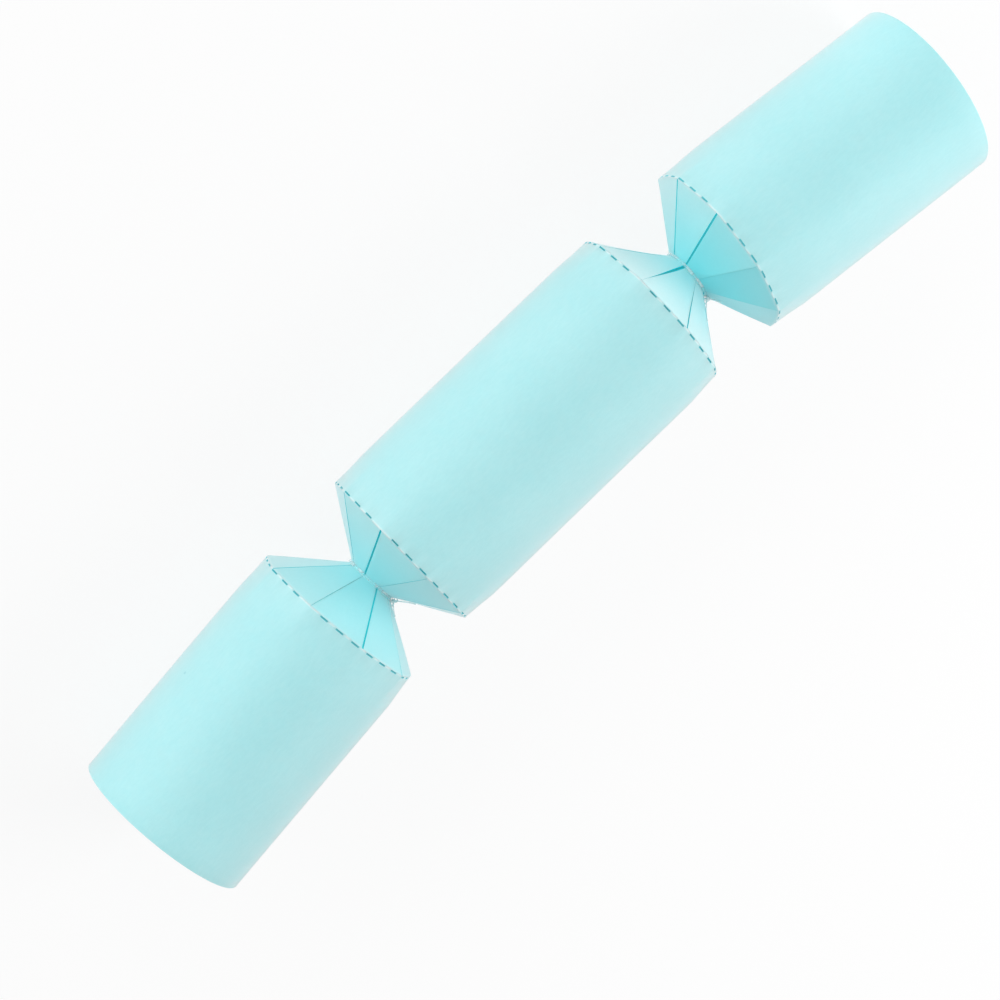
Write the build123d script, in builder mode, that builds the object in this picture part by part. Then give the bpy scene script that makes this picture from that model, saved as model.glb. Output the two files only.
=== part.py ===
"""A plain card cracker: a rolled barrel, two open end tubes and two slit necks drawn in by clear thread.

The barrel lies along X on a table, its middle above the origin. +X is the right end and +Z is up.
Both ends lean a little towards -Y, as the card takes them. Angles around a tube run from +Y towards +Z.
"""

import os
from math import acos, cos, degrees, dist, hypot, pi, radians, sin, sqrt, tan

from build123d import *

# Driving sizes, in millimetres and degrees

# The rolled card
TUBE_D = 45.0
CARD_T = 0.4
BARREL_L = 82.5
END_L = 64.5
NECK_L = 21.2
RIGHT_WAIST = 11.5
LEFT_WAIST = 9.7
WAIST_D = 13.0
END_LEAN = 7.1

# The slits that part each neck into strips
STRIPS = 9
STRIP_FLATS = 3
SLIT_W = 0.3
SLIT_PHASE = -2.0

# The perforated fold rings, one beside each rim of a neck
PERF_COUNT = 30
PERF_PHASE = 1.0
PERF_L = 2.3
PERF_W = 0.5
PERF_SETBACK = 0.5

# The lapped seam along each tube, which starts in line with a slit on the far side
SEAM_SLIT = 5
LAP_W = 12.0
LAP_RISE_W = 6.0
LAP_GAP = 0.15
TAPE_T = 0.1
TAPE_W = 10.0
TAPE_MARGIN = 3.0

# The clear thread tied round each waist
THREAD_D = 0.45
THREAD_SIDES = 6
TIE_TURNS = 2
TIE_PITCH = 0.9
TIE_MARGIN = 0.1
TIE_SEAT = 0.05
KNOT_ANGLE = 146.0
KNOT_D = 1.5
TAIL_LENGTHS = (6.5, 4.5)
TAIL_SPREAD = 36.0

# The snap: two card strips that pull out of a paper sleeve
SNAP_T = 0.5
SNAP_GAP = 0.4
SNAP_SEAT = 0.3
SNAP_LAP = 30.0
SNAP_TAIL = 7.0
SLEEVE_L = 34.0
SLEEVE_T = 0.25
SLEEVE_FIT = 0.2
PATCH_L = 12.0
PATCH_W = 6.0
PATCH_T = 0.1

# What the barrel holds
LOOSE_FIT = 0.3
NESTLE_GAP = 0.6
HAT_TURNS = 5
HAT_CORE_D = 5.0
HAT_LAYER_T = 0.3
HAT_PITCH = 0.9
HAT_L = 62.0
MOTTO_TURNS = 3
MOTTO_CORE_D = 4.0
MOTTO_T = 0.15
MOTTO_PITCH = 0.5
MOTTO_L = 48.0
TOP_D = 15.0
TOP_RIM_W = 4.0
TOP_DISC_L = 7.0
TOP_HUB_D = 6.0
PEG_D = 2.4
PEG_FIT = 0.05
PEG_L = 19.0
PEG_TIP_L = 3.0
PEG_POINT_D = 0.8
TOP_X = 4.0

# Sizes that follow
TUBE_R = TUBE_D / 2
BORE_R = TUBE_R - CARD_T
WAIST_R = WAIST_D / 2
WAIST_BORE_R = WAIST_R - CARD_T
MITRE = radians(END_LEAN / 2)
TIE_W = TIE_TURNS * TIE_PITCH + THREAD_D
WAIST_FLAT = TIE_W + 2 * TIE_MARGIN + 2 * WAIST_R * tan(MITRE)
AXIS_Z = TUBE_R
LEFT, RIGHT = -1, 1
BOTTOM = 270.0
WAIST_AT = {LEFT: BARREL_L / 2 + LEFT_WAIST, RIGHT: BARREL_L / 2 + RIGHT_WAIST}
NECK_END = BARREL_L / 2 + NECK_L
MOUTH = NECK_END + END_L
STRIP_ANGLE = 360 / STRIPS
FLATS = STRIPS * STRIP_FLATS
HALF_FLAT = pi / FLATS
LAP_START = SLIT_PHASE + SEAM_SLIT * STRIP_ANGLE
HAT_R = HAT_CORE_D / 2 + (HAT_TURNS - 0.5) * HAT_PITCH + HAT_LAYER_T
MOTTO_R = MOTTO_CORE_D / 2 + (MOTTO_TURNS - 0.5) * MOTTO_PITCH + MOTTO_T
TOP_R = TOP_D / 2


def arc_degrees(length, radius):
    """Angle that a length covers when it is rolled to a radius."""
    return degrees(length / radius)


def axis_point(side, distance):
    """Point of the centre line, at a distance out from the barrel's middle."""
    straight = min(distance, WAIST_AT[side])
    leaning = distance - straight
    lean = radians(END_LEAN)
    return (side * (straight + leaning * cos(lean)), -leaning * sin(lean), AXIS_Z)


def cross_plane(side, distance, lean=0.0, offset=0.0):
    """Plane across the centre line, with local x along row Y and local y along row Z at no lean."""
    turn = radians(-side * lean)
    plane = Plane(
        origin=axis_point(side, distance),
        x_dir=(-sin(turn), cos(turn), 0),
        z_dir=(cos(turn), sin(turn), 0),
    )
    return plane.offset(side * offset)


def polar(radius, angle):
    """Point in a cross plane."""
    return (radius * cos(radians(angle)), radius * sin(radians(angle)))


# Rolled tubes


def lapped_ring(plane):
    """Section of the rolled card: once round, then up and over its own start as a glued flap."""
    lap = arc_degrees(LAP_W, TUBE_R)
    rise = arc_degrees(LAP_RISE_W, TUBE_R)
    flap_inside = TUBE_R + LAP_GAP
    flap_outside = flap_inside + CARD_T
    climb = LAP_START - rise
    halfway = LAP_START - rise / 2
    with BuildSketch(plane) as section:
        with BuildLine():
            CenterArc((0, 0), BORE_R, LAP_START, 360 - rise)
            ThreePointArc(
                polar(BORE_R, climb),
                polar((BORE_R + flap_inside) / 2, halfway),
                polar(flap_inside, LAP_START),
            )
            CenterArc((0, 0), flap_inside, LAP_START, lap)
            Line(polar(flap_inside, LAP_START + lap), polar(flap_outside, LAP_START + lap))
            CenterArc((0, 0), flap_outside, LAP_START, lap)
            ThreePointArc(
                polar(TUBE_R, climb),
                polar((TUBE_R + flap_outside) / 2, halfway),
                polar(flap_outside, LAP_START),
            )
            CenterArc((0, 0), TUBE_R, LAP_START, 360 - rise)
            Line(polar(BORE_R, LAP_START), polar(TUBE_R, LAP_START))
        make_face()
    return section.sketch


def ring_sector(plane, inside, outside, first, span):
    """Section between two radii, from one angle through a span."""
    with BuildSketch(plane) as section:
        with BuildLine():
            CenterArc((0, 0), inside, first, span)
            Line(polar(inside, first + span), polar(outside, first + span))
            CenterArc((0, 0), outside, first, span)
            Line(polar(inside, first), polar(outside, first))
        make_face()
    return section.sketch


def perforation_angles():
    """Middles of the cuts in one fold ring, without those that would run into a slit."""
    reach = arc_degrees(PERF_L / 2, TUBE_R)
    angles = [PERF_PHASE + k * 360 / PERF_COUNT for k in range(PERF_COUNT)]
    past_slit = [(angle - SLIT_PHASE) % STRIP_ANGLE for angle in angles]
    return [
        angle
        for angle, past in zip(angles, past_slit)
        if min(past, STRIP_ANGLE - past) > reach
    ]


def rolled_tube(start, length, folds):
    """A rolled tube from a cross plane along its normal, perforated beside the rims that are folds."""
    cut_depth = 2 * (2 * CARD_T + LAP_GAP + PERF_W)
    with BuildPart() as tube:
        extrude(lapped_ring(start), amount=length)
        for fold in folds:
            ring = PERF_SETBACK if fold == 0 else fold - PERF_SETBACK - PERF_W
            with BuildSketch(start.offset(ring)):
                for angle in perforation_angles():
                    with PolarLocations(TUBE_R, 1, start_angle=angle):
                        Rectangle(cut_depth, PERF_L)
            extrude(amount=PERF_W, mode=Mode.SUBTRACT)
    return tube


def seam_tape(start, length):
    """The strip of double-sided tape between the flap and the card that it laps."""
    inside = TUBE_R + (LAP_GAP - TAPE_T) / 2
    spare = arc_degrees((LAP_W - TAPE_W) / 2, TUBE_R)
    first = LAP_START + spare
    span = arc_degrees(TAPE_W, TUBE_R)
    with BuildPart() as tape:
        section = ring_sector(start.offset(TAPE_MARGIN), inside, inside + TAPE_T, first, span)
        extrude(section, amount=length - 2 * TAPE_MARGIN)
    return tape


# Slit necks


def neck_flat(half_neck, inwards):
    """One flat of half a neck, with the rim's middle at the origin and the axis along Z."""
    run = half_neck - WAIST_FLAT / 2
    past_waist = half_neck + WAIST_FLAT / 2
    slope = (TUBE_R - WAIST_R) / run
    rim_inside = TUBE_R - CARD_T * hypot(1, slope)
    profile = (
        (TUBE_R, 0),
        (WAIST_R, run),
        (WAIST_R, past_waist),
        (WAIST_BORE_R, past_waist),
        (WAIST_BORE_R, (rim_inside - WAIST_BORE_R) / slope),
        (rim_inside, 0),
    )
    half_width = TUBE_R * tan(HALF_FLAT)
    middle = [(radius * cos(HALF_FLAT), inwards * along) for radius, along in profile]
    with BuildPart() as flat:
        with BuildSketch(Plane.XZ):
            with BuildLine():
                Polyline(*middle, close=True)
            make_face()
        extrude(amount=half_width, both=True)
        with BuildSketch(Plane.XY):
            with BuildLine():
                Polyline((0, 0), (TUBE_R, half_width), (TUBE_R, -half_width), close=True)
            make_face()
        extrude(amount=past_waist, both=True, mode=Mode.INTERSECT)
    return flat


def neck_strips(side, rim, rim_lean):
    """The strips of half a neck: card slit along, folded in at a tube's rim and mitred at the waist."""
    rim_plane = cross_plane(side, rim, rim_lean)
    waist_plane = cross_plane(side, WAIST_AT[side], END_LEAN / 2)
    inwards = side if rim < WAIST_AT[side] else -side
    half_neck = abs(WAIST_AT[side] - rim)
    flat = neck_flat(half_neck, inwards)
    first = SLIT_PHASE + degrees(HALF_FLAT)
    with BuildPart() as strips:
        with Locations(rim_plane.location):
            with PolarLocations(0, FLATS, start_angle=first):
                add(flat.part)
        with BuildSketch(rim_plane):
            with PolarLocations(TUBE_R, STRIPS, start_angle=SLIT_PHASE):
                Rectangle(2 * TUBE_R - WAIST_R, SLIT_W)
        extrude(amount=2 * half_neck, both=True, mode=Mode.SUBTRACT)
        split(bisect_by=waist_plane, keep=Keep.BOTTOM if inwards > 0 else Keep.TOP)
    return strips


# Thread ties


def thread_radius():
    """Radius of the thread's middle, which clears the band on both sides of the mitre."""
    return WAIST_R / cos(MITRE) + TIE_W / 2 * tan(MITRE) + TIE_SEAT + THREAD_D / 2


def winding_points(radius):
    """Half-turn points of the winding and the directions in which it passes them."""
    rise = TIE_PITCH / (2 * pi)
    points = []
    for half in range(2 * TIE_TURNS + 1):
        angle = radians(KNOT_ANGLE) + half * pi
        along = TIE_PITCH * (half - TIE_TURNS) / 2
        here = Vector(radius * cos(angle), radius * sin(angle), along)
        way = Vector(-radius * sin(angle), radius * cos(angle), rise).normalized()
        points.append((here, way))
    return points


def winding_joint(start, start_way, end, end_way):
    """Point where two tangent arcs meet between two points with given directions."""
    chord = end - start
    both = start_way + end_way
    square = 2 * (start_way.dot(end_way) - 1)
    slope = -2 * chord.dot(both)
    reach = (-slope - sqrt(slope**2 - 4 * square * chord.dot(chord))) / (2 * square)
    before = start + start_way * reach
    after = end - end_way * reach
    return (before + after) * 0.5, (after - before).normalized()


def winding_gap(radius):
    """Least gap between neighbouring turns of the thread, measured on points along it."""
    steps = 72
    turns = [
        (
            radius * cos(2 * pi * k / steps),
            radius * sin(2 * pi * k / steps),
            TIE_PITCH * k / steps,
        )
        for k in range(steps * TIE_TURNS + 1)
    ]
    apart = [
        dist(one, other)
        for k, one in enumerate(turns)
        for other in turns[k + steps // 2 :]
    ]
    return min(apart) - THREAD_D


def tie(side):
    """One unbroken winding of thread round a waist, with its knot and two cut tails."""
    radius = thread_radius()
    waist_plane = cross_plane(side, WAIST_AT[side], END_LEAN / 2)
    halves = winding_points(radius)
    knot_at = Vector(*polar(radius + KNOT_D / 2, KNOT_ANGLE), 0)
    knot_l = TIE_TURNS * TIE_PITCH + 2 * THREAD_D
    outwards = Vector(*polar(1, KNOT_ANGLE), 0)
    knot_plane = Plane(origin=knot_at, x_dir=(0, 0, 1), z_dir=outwards)
    with BuildPart() as winding:
        with BuildSketch(knot_plane):
            Rectangle(knot_l, KNOT_D)
        extrude(amount=KNOT_D / 2, both=True)
        chamfer(winding.edges(), KNOT_D / 4)
        with BuildLine():
            for (start, start_way), (end, end_way) in zip(halves, halves[1:]):
                middle, middle_way = winding_joint(start, start_way, end, end_way)
                TangentArc(start, middle, tangent=start_way)
                TangentArc(middle, end, tangent=middle_way)
        first, first_way = halves[0]
        with BuildSketch(Plane(origin=first, x_dir=outwards, z_dir=first_way)):
            RegularPolygon(THREAD_D / 2, THREAD_SIDES)
        sweep()
        for length, spread in zip(TAIL_LENGTHS, (-side * TAIL_SPREAD, side * TAIL_SPREAD)):
            way = outwards.rotate(Axis((0, 0, 0), knot_plane.y_dir), spread)
            with BuildSketch(Plane(origin=knot_at, x_dir=knot_plane.y_dir, z_dir=way)):
                RegularPolygon(THREAD_D / 2, THREAD_SIDES)
            extrude(amount=length)
    placed = waist_plane.location * winding.part
    return placed, winding_gap(radius)


# The snap


def snap_half_width():
    """Half width of a snap strip that sits inside a waist, also where the waist starts to lean."""
    reach = WAIST_BORE_R * cos(HALF_FLAT) - SNAP_SEAT
    lean_shift = WAIST_FLAT / 2 * tan(radians(END_LEAN))
    return sqrt(reach**2 - (SNAP_GAP / 2 + SNAP_T) ** 2) - lean_shift


def flat_bar(start_x, end_x, width, low, high):
    """A flat strip along X, with its heights counted from the barrel's centre line."""
    middle = ((start_x + end_x) / 2, 0, AXIS_Z + low)
    with BuildPart() as bar:
        with BuildSketch(Plane(origin=middle)):
            Rectangle(abs(end_x - start_x), width)
        extrude(amount=high - low)
    return bar


def snap_strip(side):
    """A snap strip from the lap in the barrel's middle out past the waist that grips it."""
    outer = side * (WAIST_AT[side] + SNAP_TAIL)
    inner = -side * SNAP_LAP / 2
    low = SNAP_GAP / 2 if side == LEFT else -SNAP_GAP / 2 - SNAP_T
    return flat_bar(inner, outer, 2 * snap_half_width(), low, low + SNAP_T)


def snap_patch(side):
    """The charge on one strip and the grit on the other, which rub as the strips part."""
    low = SNAP_GAP / 2 - PATCH_T if side == LEFT else -SNAP_GAP / 2
    return flat_bar(-PATCH_L / 2, PATCH_L / 2, PATCH_W, low, low + PATCH_T)


def snap_sleeve():
    """The paper sleeve round the lapped strips."""
    wide = 2 * (snap_half_width() + SLEEVE_FIT)
    high = 2 * SNAP_T + SNAP_GAP + 2 * SLEEVE_FIT
    with BuildPart() as sleeve:
        with BuildSketch(Plane.YZ.offset(-SLEEVE_L / 2)):
            with Locations((0, AXIS_Z)):
                Rectangle(wide + 2 * SLEEVE_T, high + 2 * SLEEVE_T)
                Rectangle(wide, high, mode=Mode.SUBTRACT)
        extrude(amount=SLEEVE_L)
    return sleeve


# What the barrel holds


def resting_plane(radius, angle, x):
    """Plane across X through the middle of a round thing that lies on the barrel's wall at an angle."""
    y, z = polar(BORE_R - LOOSE_FIT - radius, angle)
    tilt = radians(angle)
    return Plane(origin=(x, y, AXIS_Z + z), x_dir=(0, -sin(tilt), cos(tilt)), z_dir=(1, 0, 0))


def beside_motto(radius):
    """Angle up the barrel's wall from the motto to a round thing that nestles against it."""
    motto_out = BORE_R - LOOSE_FIT - MOTTO_R
    thing_out = BORE_R - LOOSE_FIT - radius
    apart = MOTTO_R + radius + NESTLE_GAP
    return degrees(acos((motto_out**2 + thing_out**2 - apart**2) / (2 * motto_out * thing_out)))


def paper_roll(core_d, pitch, thickness, turns, length, angle):
    """A rolled sheet in half-turn arcs about two centres, its last half turn against the barrel."""
    first = core_d / 2
    last = first + (2 * turns - 1) * pitch / 2
    plane = resting_plane(last + thickness, angle, -length / 2)
    with BuildPart() as roll:
        with BuildSketch(plane):
            with BuildLine():
                for half in range(2 * turns):
                    radius = first + half * pitch / 2
                    odd = half % 2
                    centre = (0 if odd else -pitch / 2, 0)
                    CenterArc(centre, radius, 180 * odd, 180)
                    CenterArc(centre, radius + thickness, 180 * odd, 180)
                start = first - pitch / 2
                Line((start, 0), (start + thickness, 0))
                Line((last, 0), (last + thickness, 0))
            make_face()
        extrude(amount=length)
    return roll


def top_disc():
    """The spinning top's turned disc, on its side with its axle along X."""
    plane = resting_plane(TOP_R, BOTTOM + beside_motto(TOP_R), TOP_X)
    hub = TOP_HUB_D / 2
    hole = PEG_D / 2 + PEG_FIT
    with BuildPart() as disc:
        with BuildSketch(Plane(origin=plane.origin, x_dir=plane.x_dir, z_dir=plane.y_dir)):
            with BuildLine():
                Line((hole, -TOP_DISC_L / 2), (hub, -TOP_DISC_L / 2))
                Line((hub, -TOP_DISC_L / 2), (TOP_R, -TOP_RIM_W / 2))
                Line((TOP_R, -TOP_RIM_W / 2), (TOP_R, TOP_RIM_W / 2))
                Line((TOP_R, TOP_RIM_W / 2), (hub, TOP_DISC_L / 2))
                Line((hub, TOP_DISC_L / 2), (hole, TOP_DISC_L / 2))
                Line((hole, TOP_DISC_L / 2), (hole, -TOP_DISC_L / 2))
            make_face()
        revolve(axis=Axis(plane.origin, plane.z_dir))
    return disc


def top_peg():
    """The peg through the disc, with the point that the top spins on."""
    plane = resting_plane(TOP_R, BOTTOM + beside_motto(TOP_R), TOP_X)
    tail = plane.offset(-TOP_DISC_L)
    with BuildPart() as peg:
        with BuildSketch(tail):
            Circle(PEG_D / 2)
        extrude(amount=PEG_L - PEG_TIP_L)
        with BuildSketch(tail):
            Circle(PEG_D / 2)
        with BuildSketch(tail.offset(-PEG_TIP_L)):
            Circle(PEG_POINT_D / 2)
        loft()
    return peg


os.makedirs("parts", exist_ok=True)


def write(part, name):
    """Label a finished piece and write its file."""
    part.label = name
    export_step(part, f"parts/{name}.step")


barrel_start = cross_plane(LEFT, BARREL_L / 2)
write(rolled_tube(barrel_start, BARREL_L, (0, BARREL_L)).part, "barrel_tube")
write(seam_tape(barrel_start, BARREL_L).part, "barrel_seam_tape")

for side, name in ((LEFT, "left"), (RIGHT, "right")):
    end_start = cross_plane(side, NECK_END if side == RIGHT else MOUTH, END_LEAN)
    end_fold = 0 if side == RIGHT else END_L
    write(rolled_tube(end_start, END_L, (end_fold,)).part, f"{name}_end_tube")
    write(seam_tape(end_start, END_L).part, f"{name}_end_seam_tape")
    write(neck_strips(side, BARREL_L / 2, 0.0).part, f"{name}_inner_strips")
    write(neck_strips(side, NECK_END, END_LEAN).part, f"{name}_outer_strips")
    thread, least_gap = tie(side)
    write(thread, f"{name}_tie")
    print(f"{name} tie: least gap between turns {least_gap:.2f} mm")
    write(snap_strip(side).part, f"{name}_snap_strip")

write(snap_patch(LEFT).part, "snap_charge")
write(snap_patch(RIGHT).part, "snap_grit")
write(snap_sleeve().part, "snap_sleeve")

hat_angle = BOTTOM - beside_motto(HAT_R)
hat = paper_roll(HAT_CORE_D, HAT_PITCH, HAT_LAYER_T, HAT_TURNS, HAT_L, hat_angle)
write(hat.part, "paper_hat")
motto = paper_roll(MOTTO_CORE_D, MOTTO_PITCH, MOTTO_T, MOTTO_TURNS, MOTTO_L, BOTTOM)
write(motto.part, "motto_slip")
write(top_disc().part, "top_disc")
write(top_peg().part, "top_peg")
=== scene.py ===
"""Looks of a plain card cracker: rolled tubes, slit and folded necks, thread ties and what the barrel holds.

Lengths are written in millimetres and turned into metres where a mesh is made. Angles around a tube run from
+Y towards +Z, in degrees. Every piece stands where its solid stands in the shared frame.
"""

from math import cos, degrees, floor, hypot, pi, radians, sin

import bpy
from mathutils import Matrix, Vector


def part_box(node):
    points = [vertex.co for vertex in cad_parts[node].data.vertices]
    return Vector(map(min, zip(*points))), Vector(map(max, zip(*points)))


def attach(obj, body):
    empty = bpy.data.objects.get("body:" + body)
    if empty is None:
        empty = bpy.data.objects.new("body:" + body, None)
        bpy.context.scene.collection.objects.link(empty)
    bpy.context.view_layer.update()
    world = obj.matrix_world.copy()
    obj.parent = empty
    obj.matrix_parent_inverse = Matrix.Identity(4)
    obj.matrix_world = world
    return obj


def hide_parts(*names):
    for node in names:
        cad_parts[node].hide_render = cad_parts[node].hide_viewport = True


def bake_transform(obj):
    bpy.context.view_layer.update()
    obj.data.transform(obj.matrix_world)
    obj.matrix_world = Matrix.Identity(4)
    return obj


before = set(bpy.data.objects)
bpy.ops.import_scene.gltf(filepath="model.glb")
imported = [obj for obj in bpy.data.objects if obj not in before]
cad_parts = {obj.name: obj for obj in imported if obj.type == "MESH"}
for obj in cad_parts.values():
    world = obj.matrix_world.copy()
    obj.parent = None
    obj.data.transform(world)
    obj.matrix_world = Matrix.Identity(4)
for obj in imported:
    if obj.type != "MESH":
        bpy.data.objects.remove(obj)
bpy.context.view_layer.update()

MM = 0.001

# Sizes of the card, as in the solids
TUBE_R = 22.5
CARD_T = 0.4
BARREL_L = 82.5
END_L = 64.5
NECK_L = 21.2
WAIST_R = 6.5
LEFT_WAIST = 9.7
RIGHT_WAIST = 11.5
END_LEAN = 7.1
LEFT, RIGHT = -1, 1
WAIST_AT = {LEFT: BARREL_L / 2 + LEFT_WAIST, RIGHT: BARREL_L / 2 + RIGHT_WAIST}
NECK_END = BARREL_L / 2 + NECK_L
MOUTH = NECK_END + END_L
AXIS_Z = TUBE_R

# Slits, lapped seam and the middles of the perforations, as in the solids
STRIPS = 9
SLIT_PHASE = -2.0
STRIP_ANGLE = 360 / STRIPS
PERF_COUNT = 30
PERF_PHASE = 1.0
LAP_STRIP = 5
LAP_W = 12.0
LAP_START = SLIT_PHASE + LAP_STRIP * STRIP_ANGLE
LAP_SPAN = degrees(LAP_W / TUBE_R)

# Perforations, a little finer than in the solids: size, distance from the fold and slope of the long walls
PERF_L = 2.15
PERF_W = 0.4
PERF_SETBACK = 0.14
PERF_TAPER = 0.16
CUT_DEPTH = 0.14

# The lapped seam: how the upper layer rises over the lower one
LAP_RAMP = 6.0
LAP_GAP = 0.15
LAP_RISE = degrees(LAP_RAMP / TUBE_R)
LAP_LIFT = CARD_T + LAP_GAP

# The band under the thread: its width and the pressed card's thickness
BAND_W = 0.7
BAND_T = 0.2

# Rims rounded off: distance from the edge and how far the card is drawn in there
RIM_ROUND = ((0.0, 0.12), (0.04, 0.04), (0.1, 0.01), (0.14, 0.0))
RIM_SINK = 0.6

# Folds drawn nine-sided: share of the way to a straight line, reach along the tube, strips that stay round
FLAT_SHARE = 0.55
FLAT_REACH = 10.0
BARREL_ROUND = (4, LAP_STRIP, 6, 7)
END_ROUND = (LAP_STRIP,)

# Tubes out of round: oval, a slow twisting warp, and the distance from a fold over which both grow
OVAL = 0.10
OVAL_SHIFT = 1.3
WARP = 0.05
WARP_TWIST = 0.05
WAVE_REACH = 14

# Steps of the meshes round and along a tube, and how near counts as the same place
COLUMN_STEP = 2.0
ROW_STEP = 4.0
SAME_PLACE = 1e-4

# Thread
THREAD_R = 0.18
THREAD_TURNS = 2
THREAD_PITCH = 0.37
THREAD_CLEAR = 0.02
THREAD_CAP = 0.6
KNOT_ANGLE = 146.0
KNOT_LIFT = 1.0
KNOT_ALONG, KNOT_ROUND, KNOT_OUT = 0.4, 0.6, 0.5
KNOT_PALE = 0.3
TAIL_LENGTHS = (6.5, 4.5)
TAIL_STARTS = (0.56, 0.66)
TAIL_DRIFTS = (-0.03, 0.05)
TAIL_PALE = 0.4
TAIL_CLEAR = 0.05
TAIL_RISE = 0.5


def smooth(low, high, value):
    """0 below low, 1 above high and a smooth rise between."""
    t = min(max((value - low) / (high - low), 0.0), 1.0)
    return t * t * (3 - 2 * t)


def lerp(a, b, t):
    return a + (b - a) * t


def spread(index, salt):
    """A steady number from -1 to 1 that differs from piece to piece."""
    x = sin(index * 12.9898 + salt * 78.233) * 43758.5453
    return 2 * (x - floor(x)) - 1


# Frames across the centre line


class Cross:
    """A plane across the centre line: its middle, its normal along +X or nearly, and its level direction."""

    def __init__(self, side, distance, lean=0.0):
        straight = min(distance, WAIST_AT[side])
        leaning = distance - straight
        tip = radians(END_LEAN)
        self.middle = Vector((side * (straight + leaning * cos(tip)), -leaning * sin(tip), AXIS_Z))
        turn = radians(-side * lean)
        self.along = Vector((cos(turn), sin(turn), 0))
        self.level = Vector((-sin(turn), cos(turn), 0))

    def point(self, along, angle, radius):
        a = radians(angle)
        up = Vector((0, 0, 1))
        return self.middle + self.along * along + (self.level * cos(a) + up * sin(a)) * radius


# Mesh making


class Builder:
    """Collects points and faces, with a tone at each corner.

    The tone says how pale (folds, and painted highlight), how deep (painted shade) and how much core
    (painted shade in cuts).
    """

    def __init__(self):
        self.points = []
        self.tones = []
        self.faces = []
        self.paint = []

    def add(self, point, pale=0.0, deep=0.0):
        self.points.append(point)
        self.tones.append((pale, deep, 0.0))
        return len(self.points) - 1

    def face(self, corners, tone=None):
        """A face whose corners take the tones of their points, or one tone of its own."""
        self.faces.append(corners)
        self.paint += [tone or self.tones[c] for c in corners]

    def object(self, name, material, sharp=35.0):
        """A mesh object from the points in millimetres, smooth but for its sharp edges."""
        mesh = bpy.data.meshes.new(name)
        mesh.from_pydata([p * MM for p in self.points], [], self.faces)
        mesh.polygons.foreach_set("use_smooth", [True] * len(mesh.polygons))
        mesh.set_sharp_from_angle(angle=radians(sharp))
        layer = mesh.attributes.new("tone", "FLOAT_VECTOR", "CORNER")
        layer.data.foreach_set("vector", [value for tone in self.paint for value in tone])
        mesh.materials.append(material)
        mesh.update()
        piece = bpy.data.objects.new(name, mesh)
        bpy.context.scene.collection.objects.link(piece)
        return piece


def plate(builder, outer, inner, present=None, hole_tone=None, edge_tone=None):
    """Faces of a sheet with thickness: two grids of points, joined at every edge of the cells present.

    The outer side faces out where columns run round from +Y towards +Z and rows run along +X.
    """
    columns = len(outer) - 1
    rows = len(outer[0]) - 1

    def inside(i, j):
        return 0 <= i < columns and 0 <= j < rows

    def here(i, j):
        return inside(i, j) and (present is None or present(i, j))

    for i in range(columns):
        for j in range(rows):
            if not here(i, j):
                continue
            builder.face((outer[i][j], outer[i + 1][j], outer[i + 1][j + 1], outer[i][j + 1]))
            builder.face((inner[i][j], inner[i][j + 1], inner[i + 1][j + 1], inner[i + 1][j]))
            edges = (
                ((i - 1, j), (i, j), (i, j + 1)),
                ((i + 1, j), (i + 1, j + 1), (i + 1, j)),
                ((i, j - 1), (i + 1, j), (i, j)),
                ((i, j + 1), (i, j + 1), (i + 1, j + 1)),
            )
            for beside, (a, b), (c, d) in edges:
                if not here(*beside):
                    tone = hole_tone if inside(*beside) else edge_tone
                    builder.face((outer[a][b], outer[c][d], inner[c][d], inner[a][b]), tone)


def tube_along(builder, line, radius, sides=10, closed=False, pale=0.0):
    """A round tube along a line of points, with rounded-off ends or joined into a loop."""
    count = len(line)
    ways = []
    for k in range(count):
        before = line[k - 1] if k or closed else line[k]
        after = line[(k + 1) % count] if k < count - 1 or closed else line[k]
        ways.append((after - before).normalized())
    across = ways[0].orthogonal().normalized()
    rings = []
    for k in range(count):
        across = (across - ways[k] * across.dot(ways[k])).normalized()
        other = ways[k].cross(across)
        ring = []
        for s in range(sides):
            a = 2 * pi * s / sides
            ring.append(builder.add(line[k] + (across * cos(a) + other * sin(a)) * radius, pale))
        rings.append(ring)
    if closed:
        last = builder.points[rings[-1][0]]
        shift = min(range(sides), key=lambda s: (builder.points[rings[0][s]] - last).length)
        rings.append(rings[0][shift:] + rings[0][:shift])
    for one, two in zip(rings, rings[1:]):
        for s in range(sides):
            n = (s + 1) % sides
            builder.face((one[s], one[n], two[n], two[s]))
    if closed:
        return
    first = builder.add(line[0] - ways[0] * radius * THREAD_CAP, pale)
    last = builder.add(line[-1] + ways[-1] * radius * THREAD_CAP, pale)
    for s in range(sides):
        n = (s + 1) % sides
        builder.face((rings[0][n], rings[0][s], first))
        builder.face((rings[-1][s], rings[-1][n], last))


# Materials


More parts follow.
